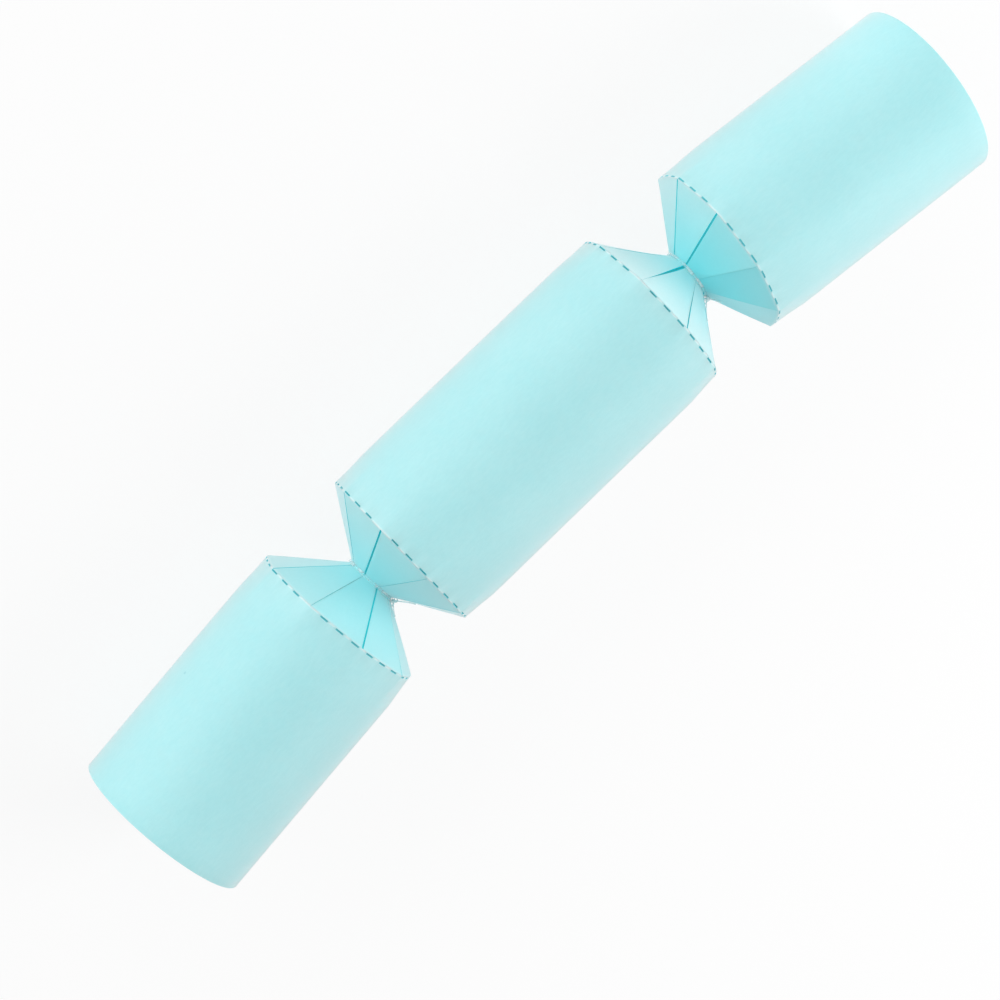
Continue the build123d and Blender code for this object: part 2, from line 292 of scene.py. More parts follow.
class Nodes:
    """A small helper that adds shader nodes and links them."""

    def __init__(self, name):
        self.material = bpy.data.materials.new(name)
        self.material.use_nodes = True
        self.tree = self.material.node_tree
        self.shader = self.tree.nodes["Principled BSDF"]
        self.coords = None

    def add(self, kind, **settings):
        node = self.tree.nodes.new(kind)
        for key, value in settings.items():
            setattr(node, key, value)
        return node

    def link(self, source, target):
        self.tree.links.new(source, target)

    def place(self):
        """Coordinates fixed to the piece, in metres."""
        if self.coords is None:
            self.coords = self.add("ShaderNodeTexCoord")
        return self.coords.outputs["Object"]

    def stretched(self, scale):
        mapping = self.add("ShaderNodeMapping")
        mapping.inputs["Scale"].default_value = scale
        self.link(self.place(), mapping.inputs["Vector"])
        return mapping.outputs["Vector"]

    def noise(self, scale, detail=3.0, rough=0.55, vector=None, distortion=0.0):
        node = self.add("ShaderNodeTexNoise")
        node.inputs["Scale"].default_value = scale
        node.inputs["Detail"].default_value = detail
        node.inputs["Roughness"].default_value = rough
        node.inputs["Distortion"].default_value = distortion
        self.link(vector or self.place(), node.inputs["Vector"])
        return node.outputs["Fac"]

    def ramp(self, value, low, high, out_low=0.0, out_high=1.0):
        node = self.add("ShaderNodeMapRange")
        node.inputs["From Min"].default_value = low
        node.inputs["From Max"].default_value = high
        node.inputs["To Min"].default_value = out_low
        node.inputs["To Max"].default_value = out_high
        self.link(value, node.inputs["Value"])
        return node.outputs["Result"]

    def math(self, kind, a, b):
        node = self.add("ShaderNodeMath", operation=kind)
        for socket, value in zip(node.inputs, (a, b)):
            if isinstance(value, (int, float)):
                socket.default_value = value
            else:
                self.link(value, socket)
        return node.outputs["Value"]

    def tone(self):
        """The painted tone as three values.

        How pale (folds, and painted highlight), how deep (painted shade) and how much core (painted
        shade in cuts).
        """
        painted = self.add("ShaderNodeAttribute", attribute_name="tone")
        parts = self.add("ShaderNodeSeparateXYZ")
        self.link(painted.outputs["Vector"], parts.inputs["Vector"])
        return parts.outputs["X"], parts.outputs["Y"], parts.outputs["Z"]

    def mix(self, factor, a, b):
        """Colour between two colours or sockets."""
        node = self.add("ShaderNodeMix", data_type="RGBA")
        self.link(factor, node.inputs["Factor"])
        for socket, value in ((node.inputs[6], a), (node.inputs[7], b)):
            if isinstance(value, tuple):
                socket.default_value = (*value, 1.0)
            else:
                self.link(value, socket)
        return node.outputs[2]

    def bump(self, height, strength, distance):
        node = self.add("ShaderNodeBump")
        node.inputs["Strength"].default_value = strength
        node.inputs["Distance"].default_value = distance
        self.link(height, node.inputs["Height"])
        self.link(node.outputs["Normal"], self.shader.inputs["Normal"])

    def set(self, **values):
        for key, value in values.items():
            self.shader.inputs[key.replace("_", " ")].default_value = value

    def colour(self, socket):
        self.link(socket, self.shader.inputs["Base Color"])

    def rough(self, socket):
        self.link(socket, self.shader.inputs["Roughness"])


CARD = (0.465, 0.84, 0.87)
CARD_CLOUD = (0.39, 0.79, 0.825)
CARD_PALE = (0.82, 0.97, 0.98)
# Painted shade: a deeper teal for the necks' creases and for strips turned from the light
CARD_CREASE_SHADE = (0.10, 0.74, 0.82)
# Painted shade: the dark teal in the walls of slits and perforations
CARD_CUT_SHADE = (0.02, 0.60, 0.70)
CARD_FLECK = (0.10, 0.55, 0.62)
THREAD_CLEAR_TINT = (0.62, 0.92, 0.94)
THREAD_MILK = (0.97, 0.99, 0.99)
PAINT_LIGHT = (0.66, 0.075, 0.06)
PAINT_DARK = (0.55, 0.05, 0.04)
WOOD_LIGHT = (0.74, 0.56, 0.35)
WOOD_DARK = (0.60, 0.42, 0.24)


def card_material():
    """Dyed card: cloudy fibres, a few flecks, paler where it is folded.

    On top of that, painted shade in a deeper teal lies in its cuts and creases and on neck strips turned
    from the light, and a painted highlight lies near the rim of strips that face it.
    """
    n = Nodes("card")
    clouds = n.ramp(n.noise(45.0, 4.0, 0.6), 0.3, 0.7)
    fibres = n.ramp(n.noise(1500.0, 2.0, 0.6, n.stretched((0.35, 1.0, 1.0))), 0.3, 0.7)
    shade = n.math("ADD", n.math("MULTIPLY", clouds, 0.5), n.math("MULTIPLY", fibres, 0.5))
    paper = n.mix(shade, CARD_CLOUD, CARD)
    cells = n.add("ShaderNodeTexVoronoi")
    cells.inputs["Scale"].default_value = 75.0
    n.link(n.place(), cells.inputs["Vector"])
    dots = n.ramp(cells.outputs["Distance"], 0.05, 0.03)
    chosen = n.add("ShaderNodeSeparateColor")
    n.link(cells.outputs["Color"], chosen.inputs["Color"])
    few = n.ramp(chosen.outputs["Red"], 0.5, 0.6)
    paper = n.mix(n.math("MULTIPLY", n.math("MULTIPLY", dots, few), 0.6), paper, CARD_FLECK)
    # Painted shade from the tone: deep in creases and on strips turned from the light, core in cuts
    pale, deep, core = n.tone()
    paper = n.mix(deep, paper, CARD_CREASE_SHADE)
    paper = n.mix(core, paper, CARD_CUT_SHADE)
    # Pale mixes fold paleness with a painted highlight near the rim of strips that face the light
    patchy = n.ramp(n.noise(900.0, 3.0), 0.25, 0.6, 0.55, 1.0)
    n.colour(n.mix(n.math("MULTIPLY", pale, patchy), paper, CARD_PALE))
    n.rough(n.ramp(fibres, 0.0, 1.0, 0.62, 0.74))
    n.bump(n.noise(2200.0, 3.0, 0.65), 0.22, 0.00008)
    n.link(n.ramp(core, 0.0, 1.0, 0.8, 0.1), n.shader.inputs["Specular IOR Level"])
    n.link(n.ramp(core, 0.0, 1.0, 0.95, 0.0), n.shader.inputs["Sheen Weight"])
    n.set(Sheen_Roughness=0.5)
    n.set(Subsurface_Weight=0.5, Subsurface_Radius=(0.5, 1.0, 1.0), Subsurface_Scale=0.0006)
    return n.material


def thread_material():
    """Clear nylon thread, milky in streaks and a little where it is knotted and cut."""
    n = Nodes("thread")
    streaks = n.ramp(n.noise(420.0, 4.0, 0.6), 0.45, 0.65)
    pale, _, _ = n.tone()
    milk = n.math("MAXIMUM", n.math("MULTIPLY", streaks, 0.6), pale)
    n.colour(n.mix(milk, THREAD_CLEAR_TINT, THREAD_MILK))
    n.rough(n.ramp(streaks, 0.0, 1.0, 0.2, 0.34))
    n.link(n.ramp(milk, 0.0, 1.0, 0.12, 0.9), n.shader.inputs["Alpha"])
    n.set(IOR=1.5, Specular_IOR_Level=0.6, Sheen_Weight=1.0, Sheen_Roughness=0.7)
    return n.material


def tape_material():
    n = Nodes("seam_tape")
    haze = n.ramp(n.noise(300.0, 3.0), 0.3, 0.7)
    n.colour(n.mix(haze, (0.80, 0.84, 0.82), (0.9, 0.92, 0.9)))
    n.rough(n.ramp(haze, 0.0, 1.0, 0.3, 0.5))
    n.bump(haze, 0.1, 0.00005)
    return n.material


def board_material():
    """Grey-buff board with short fibres."""
    n = Nodes("snap_board")
    fibres = n.ramp(n.noise(1100.0, 4.0, 0.65, n.stretched((0.3, 1.0, 1.0))), 0.3, 0.7)
    specks = n.ramp(n.noise(2600.0, 1.0), 0.66, 0.72)
    paper = n.mix(fibres, (0.50, 0.43, 0.33), (0.64, 0.57, 0.46))
    n.colour(n.mix(n.math("MULTIPLY", specks, 0.5), paper, (0.28, 0.22, 0.16)))
    n.rough(n.ramp(fibres, 0.0, 1.0, 0.7, 0.85))
    n.bump(fibres, 0.25, 0.00008)
    return n.material


def sleeve_material():
    n = Nodes("sleeve_paper")
    fibres = n.ramp(n.noise(900.0, 4.0, 0.6), 0.3, 0.7)
    creases = n.noise(120.0, 3.0, 0.6, None, 0.6)
    n.colour(n.mix(fibres, (0.80, 0.78, 0.71), (0.89, 0.87, 0.81)))
    n.rough(n.ramp(fibres, 0.0, 1.0, 0.65, 0.8))
    n.bump(creases, 0.3, 0.0003)
    return n.material


def charge_material():
    """Dried grit in a dark binder."""
    n = Nodes("snap_grit")
    grains = n.add("ShaderNodeTexVoronoi")
    grains.inputs["Scale"].default_value = 4000.0
    n.link(n.place(), grains.inputs["Vector"])
    grey = n.add("ShaderNodeSeparateColor")
    n.link(grains.outputs["Color"], grey.inputs["Color"])
    n.colour(n.mix(grey.outputs["Red"], (0.09, 0.085, 0.085), (0.27, 0.25, 0.24)))
    n.rough(n.ramp(grey.outputs["Green"], 0.0, 1.0, 0.55, 0.9))
    n.bump(grains.outputs["Distance"], 0.6, 0.0001)
    return n.material


def tissue_material():
    """Red tissue with fine crumples."""
    n = Nodes("tissue")
    fibres = n.ramp(n.noise(1600.0, 3.0, 0.6), 0.3, 0.7)
    crumple = n.noise(260.0, 5.0, 0.6, None, 1.2)
    n.colour(n.mix(fibres, (0.62, 0.035, 0.045), (0.78, 0.075, 0.085)))
    n.rough(n.ramp(fibres, 0.0, 1.0, 0.55, 0.75))
    n.bump(crumple, 0.5, 0.0004)
    n.set(Sheen_Weight=0.3, Sheen_Roughness=0.5)
    return n.material


def motto_material():
    n = Nodes("motto_paper")
    fibres = n.ramp(n.noise(1300.0, 3.0, 0.6), 0.3, 0.7)
    n.colour(n.mix(fibres, (0.83, 0.80, 0.73), (0.91, 0.89, 0.83)))
    n.rough(n.ramp(fibres, 0.0, 1.0, 0.6, 0.75))
    n.bump(fibres, 0.15, 0.00006)
    return n.material


def wood_material(name, light, dark, rough_low, rough_high, coat):
    """Turned wood with its grain along X, bare or under lacquer."""
    n = Nodes(name)
    grain = n.ramp(n.noise(420.0, 5.0, 0.6, n.stretched((0.12, 1.0, 1.0)), 0.4), 0.3, 0.7)
    pores = n.ramp(n.noise(1500.0, 2.0, 0.5, n.stretched((0.06, 1.0, 1.0))), 0.6, 0.68)
    wood = n.mix(grain, dark, light)
    n.colour(n.mix(n.math("MULTIPLY", pores, 0.35), wood, tuple(0.5 * c for c in dark)))
    n.rough(n.ramp(grain, 0.0, 1.0, rough_low, rough_high))
    n.bump(grain, 0.2, 0.0001)
    n.set(Coat_Weight=coat, Coat_Roughness=0.15)
    return n.material


card = card_material()
thread = thread_material()

# Tones at a slit's walls and in a perforation (painted shade), at an open edge, and how pale folded card is
CUT_TONE = (0.0, 0.0, 1.0)
PERF_TONE = (0.0, 0.0, 0.85)
EDGE_TONE = (0.5, 0.0, 0.0)
FOLD_PALE = 0.8
CUT_FOLD_PALE = 0.1
MOUTH_PALE = 0.5
STRIP_FOLD_PALE = 0.4

# Where that paleness fades: from and to which distance, and as a share of a strip's length
FOLD_FADE = (0.1, 0.65)
MOUTH_FADE = (0.0, 0.12)
STRIP_FOLD_FADE = (0.0, 0.03)


# Rolled tubes


def perforation_angles():
    """Middles of the cuts in one fold ring, without those that would run into a slit."""
    reach = degrees(PERF_L / 2 / TUBE_R)
    angles = []
    for k in range(PERF_COUNT):
        angle = PERF_PHASE + k * 360 / PERF_COUNT
        past = (angle - SLIT_PHASE) % STRIP_ANGLE
        if min(past, STRIP_ANGLE - past) > reach:
            angles.append(angle)
    return angles


def filled(marks, step):
    """Sorted marks with even steps between them."""
    marks = sorted(set(round(m, 6) for m in marks))
    line = []
    for a, b in zip(marks, marks[1:]):
        parts = max(1, round((b - a) / step))
        line += [a + (b - a) * k / parts for k in range(parts)]
    return line + [marks[-1]]


def roll_columns():
    """Angles along the rolled sheet, from its covered edge once round to its lapped edge, and its cuts."""
    first = LAP_START
    last = LAP_START + 360 + LAP_SPAN
    reach = degrees(PERF_L / 2 / TUBE_R)
    cuts = []
    for angle in perforation_angles():
        for turn in (0, 360, 720):
            low = angle + turn - reach
            high = angle + turn + reach
            if first < low and high < last:
                cuts.append((low, high))
    marks = [first, last, first + 360 - LAP_RISE, first + 360]
    for low, high in cuts:
        marks += [low, high]
    return filled(marks, COLUMN_STEP), cuts


def roll_rows(length, folds):
    """Distances along a tube, close together at its rims, and the cut rows."""
    marks = [0.0, length]
    for inset, _ in RIM_ROUND:
        marks += [inset, length - inset]
    cuts = []
    for fold in folds:
        near = PERF_SETBACK if fold == 0 else length - PERF_SETBACK - PERF_W
        cuts.append((near, near + PERF_W))
        marks += [near, near + PERF_W]
    return filled(marks, ROW_STEP), cuts


def fold_drop(angle, round_strips):
    """How far a fold is drawn in from the round towards a straight line, where a strip doesn't stay round."""
    past = (angle - SLIT_PHASE) % 360
    if floor(past / STRIP_ANGLE) in round_strips:
        return 0.0
    half = STRIP_ANGLE / 2
    off_middle = past % STRIP_ANGLE - half
    return FLAT_SHARE * TUBE_R * (1 - cos(radians(half)) / cos(radians(off_middle)))


def rim_inset(distance):
    """How far the card is rounded off at a distance from its edge."""
    for (near, deep), (far, shallow) in zip(RIM_ROUND, RIM_ROUND[1:]):
        if distance <= far:
            return lerp(deep, shallow, (distance - near) / (far - near))
    return 0.0


def within(value, spans):
    return any(low - SAME_PLACE < value < high + SAME_PLACE for low, high in spans)


def waviness(angle, along, salt):
    """How far a tube is out of round."""
    a = radians(angle)
    return OVAL * sin(2 * a + OVAL_SHIFT * salt) + WARP * sin(3 * a + along * WARP_TWIST + salt)


def tube_pale(to_fold, to_mouth, is_cut):
    """How pale a tube is: at its folds, where cuts leave little of it, and at its mouth."""
    fold_pale = CUT_FOLD_PALE if is_cut else FOLD_PALE
    at_fold = fold_pale * (1 - smooth(*FOLD_FADE, to_fold))
    at_mouth = MOUTH_PALE * (1 - smooth(*MOUTH_FADE, to_mouth))
    return max(at_fold, at_mouth)


def cut_slope(along, cut_rows):
    """How far the inner edge of a cut's long wall is moved along the tube, and 0 away from those walls."""
    slope = 0.0
    for low, high in cut_rows:
        slope += PERF_TAPER * ((abs(along - low) < SAME_PLACE) - (abs(along - high) < SAME_PLACE))
    return slope


def rolled_tube(name, cross, length, folds, round_strips, salt):
    """A rolled card tube with its lapped seam, perforated rings and soft out-of-roundness."""
    angles, cut_angles = roll_columns()
    rows, cut_rows = roll_rows(length, folds)
    mouths = {0, length} - set(folds)
    builder = Builder()
    outer, inner = [], []
    for angle in angles:
        lift = LAP_LIFT * smooth(LAP_START + 360 - LAP_RISE, LAP_START + 360, angle)
        drop = fold_drop(angle, round_strips)
        is_cut = within(angle, cut_angles)
        out_line, in_line = [], []
        for along in rows:
            to_fold = min(abs(along - fold) for fold in folds)
            to_mouth = min((abs(along - mouth) for mouth in mouths), default=length)
            outside = TUBE_R + lift + waviness(angle, along, salt) * smooth(0, WAVE_REACH, to_fold)
            outside -= drop * (1 - smooth(0, FLAT_REACH, to_fold))
            inset = rim_inset(min(along, length - along))
            slope = cut_slope(along, cut_rows)
            depth = CUT_DEPTH if slope and is_cut else CARD_T - inset * RIM_SINK
            pale = tube_pale(to_fold, to_mouth, is_cut)
            out_line.append(builder.add(cross.point(along, angle, outside - inset), pale))
            in_line.append(builder.add(cross.point(along + slope, angle, outside - depth)))
        outer.append(out_line)
        inner.append(in_line)
    hole_a = [within((p + q) / 2, cut_angles) for p, q in zip(angles, angles[1:])]
    hole_r = [within((p + q) / 2, cut_rows) for p, q in zip(rows, rows[1:])]
    plate(builder, outer, inner, lambda i, j: not (hole_a[i] and hole_r[j]), PERF_TONE, EDGE_TONE)
    return builder.object(name, card, sharp=20.0)


# Slit necks


# Widths of a slit at the rim and at the waist
OPEN = (0.5, 0.46)
NARROW = (0.26, 0.20)
SHUT = (0.06, 0.06)
WEDGE = (0.03, 0.90)
FADING = (0.34, 0.06)


class HalfNeck:
    """Nine folded strips from a tube's rim to the waist: round at the fold and under the thread.

    Between those they go flat. towards is the way along the waist plane's normal that leads back to the
    rim. round_off says how soon a strip goes flat and bow how far its middle stands out. depth gives its
    painted shade at the rim, at the waist and what is added on the side turned from the light; below
    zero it gives a painted highlight. slits gives each slit's width at rim and waist. tilts gives how far
    a strip's one edge stands above its other edge.
    """

    stations = (0.0, 0.012, 0.035, 0.08, 0.14, 0.22, 0.32, 0.43, 0.54, 0.65, 0.76, 0.86, 0.94, 1.0)
    across = 10
    inner_slit = 0.06
    least_sink = 0.02
    lit_side = -33.0
    uneven_bow = 0.12
    uneven_tilt = 0.2
    slits_change = (0.1, 0.9)
    round_again = (0.7, 1.0)
    bow_fade = 0.3
    away_fade = 0.6

    def __init__(self, rim, waist, towards, round_strips, round_off, bow, depth, slits, tilts, salt):
        self.rim = rim
        self.waist = waist
        self.towards = towards
        self.round_strips = round_strips
        self.round_off = round_off
        self.bow = bow
        self.depth = depth
        self.slits = slits
        self.tilts = tilts
        self.salt = salt
        run = (rim.middle - waist.middle).length - BAND_W / 2
        self.slope = hypot(run, TUBE_R - WAIST_R)
        self.wall = CARD_T * self.slope / run

    def edges(self, index, t, share):
        """Angles of a strip's two edges, with a share of the slits' widths left open."""
        radius = lerp(TUBE_R, WAIST_R, t)
        start = SLIT_PHASE + index * STRIP_ANGLE
        gaps = []
        for k in (index, index + 1):
            at_rim, at_waist = self.slits[k % STRIPS]
            width = lerp(at_rim, at_waist, smooth(*self.slits_change, t))
            gaps.append(degrees(share * width / 2 / radius))
        return start + gaps[0], start + STRIP_ANGLE - gaps[1]

    def point(self, index, t, across, sink=0.0):
        """A point of a strip's outer face, or sunk by a share of its thickness, where slits are narrower."""
        rim_r = TUBE_R - max(sink * self.wall, self.least_sink)
        band_r = WAIST_R - sink * BAND_T
        low, high = self.edges(index, t, self.inner_slit if sink else 1.0)

        def ruled(angle):
            end = self.waist.point(self.towards * BAND_W / 2, angle, band_r)
            return self.rim.point(0, angle, rim_r - fold_drop(angle, self.round_strips)).lerp(end, t)

        angle = lerp(low, high, across)
        flat = ruled(low).lerp(ruled(high), across)
        roundness = (1 - t) ** self.round_off + smooth(*self.round_again, t)
        spot = flat.lerp(ruled(angle), roundness)
        radial = self.rim.point(0, angle, 1.0) - self.rim.middle
        tilt = self.tilts.get(index, self.uneven_tilt * spread(index, self.salt + 1))
        bow = self.bow + self.uneven_bow * spread(index, self.salt) + tilt * (across - 0.5)
        return spot + radial * bow * sin(pi * t) * (1 - self.bow_fade * t)

    def tone(self, index, t):
        """How pale and how deep a strip is, as painted light and shade.

        Painted shade grows towards the waist's crease and on the side turned from the light; below zero
        it becomes a painted highlight. The fold at the rim is paler too.
        """
        at_rim, at_waist, turned_away = self.depth
        middle = SLIT_PHASE + (index + 0.5) * STRIP_ANGLE
        away = 0.5 - 0.5 * cos(radians(middle - self.lit_side))
        # Painted shade: more towards the waist and on strips turned from the light, painted highlight below
        # zero
        deep = lerp(at_rim, at_waist, t) + turned_away * away * (1 - self.away_fade * t)
        fold = STRIP_FOLD_PALE * (1 - smooth(*STRIP_FOLD_FADE, t))
        return max(fold, -deep, 0.0), min(max(deep, 0.0), 1.0)

    def strips(self, name):
        builder = Builder()
        flip = self.towards > 0
        onto_waist = self.waist.along * (-self.towards * BAND_W / 2)
        for index in range(STRIPS):
            outer, inner = [], []
            for c in range(self.across + 1):
                across = c / self.across
                sink = CUT_DEPTH / CARD_T if c in (0, self.across) else 1.0
                out_line, in_line = [], []
                for t in self.stations:
                    pale, deep = self.tone(index, t)
                    over = self.point(index, t, across)
                    under = self.point(index, t, across, sink)
                    out_line.append(builder.add(over, pale, deep))
                    in_line.append(builder.add(under, 0.0, deep))
                out_line.append(builder.add(over + onto_waist, 0.0, deep))
                in_line.append(builder.add(under + onto_waist, 0.0, deep))
                outer.append(out_line)
                inner.append(in_line)
            if flip:
                outer.reverse()
                inner.reverse()
            plate(builder, outer, inner, edge_tone=CUT_TONE)
        return builder.object(name, card, sharp=28.0)


# Thread ties


def tail_line(half, length, start, drift, steps=14):
    """A cut end of thread that lies along a strip, from the waist outwards."""
    index = floor((KNOT_ANGLE - SLIT_PHASE) / STRIP_ANGLE)
    nudge = 0.02
    line = []
    for k in range(steps + 1):
        share = k / steps
        t = 1 - share * length / half.slope
        across = start + drift * share
        here = half.point(index, t, across)
        down = half.point(index, t - nudge, across) - here
        side = half.point(index, t, across + nudge) - here
        out = down.cross(side).normalized()
        if out.dot(here - half.waist.middle) < 0:
            out = -out
        line.append(here + out * (THREAD_R + TAIL_CLEAR + TAIL_RISE * (1 - share) ** 2))
    return line


def turns_line(waist, steps=72):
    """The thread's turns round the waist, side by side."""
    line = []
    for k in range(THREAD_TURNS * steps + 1):
        angle = KNOT_ANGLE + 360 * k / steps
        along = THREAD_PITCH * (k / steps - THREAD_TURNS / 2)
        line.append(waist.point(along, angle, WAIST_R + THREAD_R + THREAD_CLEAR))
    return line


def knot_line(waist, steps=60):
    """The closed loop of an overhand knot that sits on the turns."""
    out = (waist.point(0, KNOT_ANGLE, 1) - waist.middle).normalized()
    round_way = waist.along.cross(out)
    seat = waist.point(0, KNOT_ANGLE, WAIST_R + KNOT_LIFT)
    line = []
    for k in range(steps):
        a = 2 * pi * k / steps
        x = sin(a) + 2 * sin(2 * a)
        y = cos(a) - 2 * cos(2 * a)
        z = -sin(3 * a)
        spot = seat + waist.along * (x * KNOT_ALONG) + round_way * (y * KNOT_ROUND)
        line.append(spot + out * (z * KNOT_OUT))
    return line


def thread_tie(name, waist, halves):
    """Two turns of thread in the waist's crease, an overhand knot and two cut ends."""
    builder = Builder()
    tube_along(builder, turns_line(waist), THREAD_R)
    tube_along(builder, knot_line(waist), THREAD_R, closed=True, pale=KNOT_PALE)
    for half, length, start, drift in zip(halves, TAIL_LENGTHS, TAIL_STARTS, TAIL_DRIFTS):
        tube_along(builder, tail_line(half, length, start, drift), THREAD_R, pale=TAIL_PALE)
    return builder.object(name, thread, sharp=60.0)


# Build the card


barrel_start = Cross(LEFT, BARREL_L / 2)
barrel = rolled_tube("barrel_card", barrel_start, BARREL_L, (0, BARREL_L), BARREL_ROUND, salt=1)
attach(barrel, "barrel")
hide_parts("barrel_tube")

# Each half neck: round_off, bow, depth (painted shade and highlight), slits and tilts, as HalfNeck takes them
LAPPED = {2: 0.5, 3: 0.5, 7: -0.5, 8: 0.0}
LEFT_BARREL_SLITS = (NARROW, OPEN, SHUT, NARROW, OPEN, NARROW, SHUT, OPEN, NARROW)
RIGHT_BARREL_SLITS = (SHUT, WEDGE, FADING, WEDGE, SHUT, NARROW, FADING, WEDGE, NARROW)
LEFT_END_SLITS = (NARROW, SHUT, OPEN, NARROW, SHUT, OPEN, NARROW, SHUT, OPEN)
RIGHT_END_SLITS = (OPEN, OPEN, SHUT, SHUT, NARROW, OPEN, SHUT, OPEN, NARROW)
BARREL_SIDE = {
    LEFT: (3.0, 0.05, (0.2, 0.7, 0.1), LEFT_BARREL_SLITS, {}),
    RIGHT: (1.3, -0.25, (-0.3, 0.7, 0.0), RIGHT_BARREL_SLITS, {}),
}
END_SIDE = {
    LEFT: (2.5, 0.1, (0.1, 0.5, 0.2), LEFT_END_SLITS, {}),
    RIGHT: (5.0, 0.05, (-0.15, 0.7, 0.9), RIGHT_END_SLITS, LAPPED),
}

for side, name in ((LEFT, "left"), (RIGHT, "right")):
    waist = Cross(side, WAIST_AT[side], END_LEAN / 2)
    barrel_rim = Cross(side, BARREL_L / 2)
    end_rim = Cross(side, NECK_END, END_LEAN)

    start = end_rim if side == RIGHT else Cross(side, MOUTH, END_LEAN)
    fold = 0 if side == RIGHT else END_L
    end = rolled_tube(f"{name}_end_card", start, END_L, (fold,), END_ROUND, salt=2 + side)
    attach(end, f"{name}_end")
    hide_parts(f"{name}_end_tube")

    barrel_half = HalfNeck(barrel_rim, waist, -side, BARREL_ROUND, *BARREL_SIDE[side], salt=7)
    strips = barrel_half.strips(f"{name}_barrel_side_strips")
    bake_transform(strips)
    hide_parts(f"{name}_inner_strips")

    end_half = HalfNeck(end_rim, waist, side, END_ROUND, *END_SIDE[side], salt=9)
    strips = end_half.strips(f"{name}_end_side_strips")
    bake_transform(strips)
    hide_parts(f"{name}_outer_strips")

    tie = thread_tie(f"{name}_thread", waist, (barrel_half, end_half))
    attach(tie, f"{name}_waist")
    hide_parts(f"{name}_tie")


# Finishes of the pieces that keep their solids


def finish_node(node, material):
    """Give a carried-over solid its material."""
    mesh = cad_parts[node].data
    mesh.materials.clear()
    mesh.materials.append(material)


tape = tape_material()
board = board_material()
grit = charge_material()
for node in ("barrel_seam_tape", "left_end_seam_tape", "right_end_seam_tape"):
    finish_node(node, tape)
for node in ("left_snap_strip", "right_snap_strip"):
    finish_node(node, board)
finish_node("snap_sleeve", sleeve_material())
for node in ("snap_charge", "snap_grit"):
    finish_node(node, grit)


# What the barrel holds


def node_middle(node):
    """Middle of a node's box and its half sizes, in millimetres."""
    low, high = (Vector(corner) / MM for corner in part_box(node))
    return (low + high) / 2, (high - low) / 2


# Crumples of a rolled paper: weight, waves along the roll, waves along the unrolled sheet and shift
CRUMPLES = ((1.0, 0.9, 0.31, 0.0), (0.6, 0.37, -0.83, 1.7), (0.5, 1.7, 1.1, 0.4))
ROLL_ROOM = 0.15
POINT_PITCH = 11.0


def paper_roll(name, node, material, turns, core, sheet, crumple, points=0.0, per_turn=40, rows=26):
    """A rolled paper: a spiral sheet with soft crumples, and a pointed edge where points are asked for."""
    middle, half = node_middle(node)
    outside = min(half.y, half.z) - ROLL_ROOM
    builder = Builder()
    outer, inner = [], []
    columns = turns * per_turn
    for i in range(columns + 1):
        t = i / columns
        angle = 2 * pi * turns * t + pi
        radius = lerp(core, outside, t)
        unrolled = radius * angle
        bite = points * abs(2 * ((unrolled / POINT_PITCH) % 1.0) - 1)
        way = Vector((0, cos(angle), sin(angle)))
        out_line, in_line = [], []
        for j in range(rows + 1):
            along = lerp(-half.x, half.x - bite, j / rows)
            wave = sum(w * sin(a * along + u * unrolled + shift) for w, a, u, shift in CRUMPLES)
            r = radius + crumple * wave
            spot = middle + Vector((along, 0, 0))
            out_line.append(builder.add(spot + way * r))
            in_line.append(builder.add(spot + way * (r - sheet)))
        outer.append(out_line)
        inner.append(in_line)
    plate(builder, outer, inner)
    piece = builder.object(name, material, sharp=50.0)
    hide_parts(node)
    return piece


def turned(name, node, profile, middle, material, sides=64):
    """A turned piece about X from its closed outline; where that meets the axis there is a single point."""
    builder = Builder()
    rings = []
    for along, radius in profile:
        ring = []
        for s in range(sides if radius else 1):
            a = 2 * pi * s / sides
            ring.append(builder.add(middle + Vector((along, cos(a) * radius, sin(a) * radius))))
        rings.append(ring if radius else ring * sides)
    for one, two in zip(rings, rings[1:] + rings[:1]):
        for s in range(sides):
            n = (s + 1) % sides
            corners = tuple(dict.fromkeys((one[s], one[n], two[n], two[s])))
            if len(corners) > 2:
                builder.face(corners)
    piece = builder.object(name, material, sharp=32.0)
    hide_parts(node)
    return piece


def eased(corners, ease):
    """A closed outline with each corner that is off the axis rounded off in three points."""
    most = 0.4
    line = []
    count = len(corners)
    for k in range(count):
        here = Vector(corners[k])
        if not here.y:
            line.append(here)
            continue
        before = Vector(corners[k - 1])
        after = Vector(corners[(k + 1) % count])
        reach = min(ease, (before - here).length * most, (after - here).length * most)
        one = here + (before - here).normalized() * reach
        two = here + (after - here).normalized() * reach
        line += [one, (one + two + here * 2) / 4, two]
    return [(p.x, p.y) for p in line]


tissue = tissue_material()
hat = paper_roll("rolled_hat", "paper_hat", tissue, turns=5, core=2.3, sheet=0.16, crumple=0.09, points=7.0)
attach(hat, "hat")
paper = motto_material()
motto = paper_roll("rolled_motto", "motto_slip", paper, turns=3, core=1.9, sheet=0.12, crumple=0.015)
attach(motto, "motto")

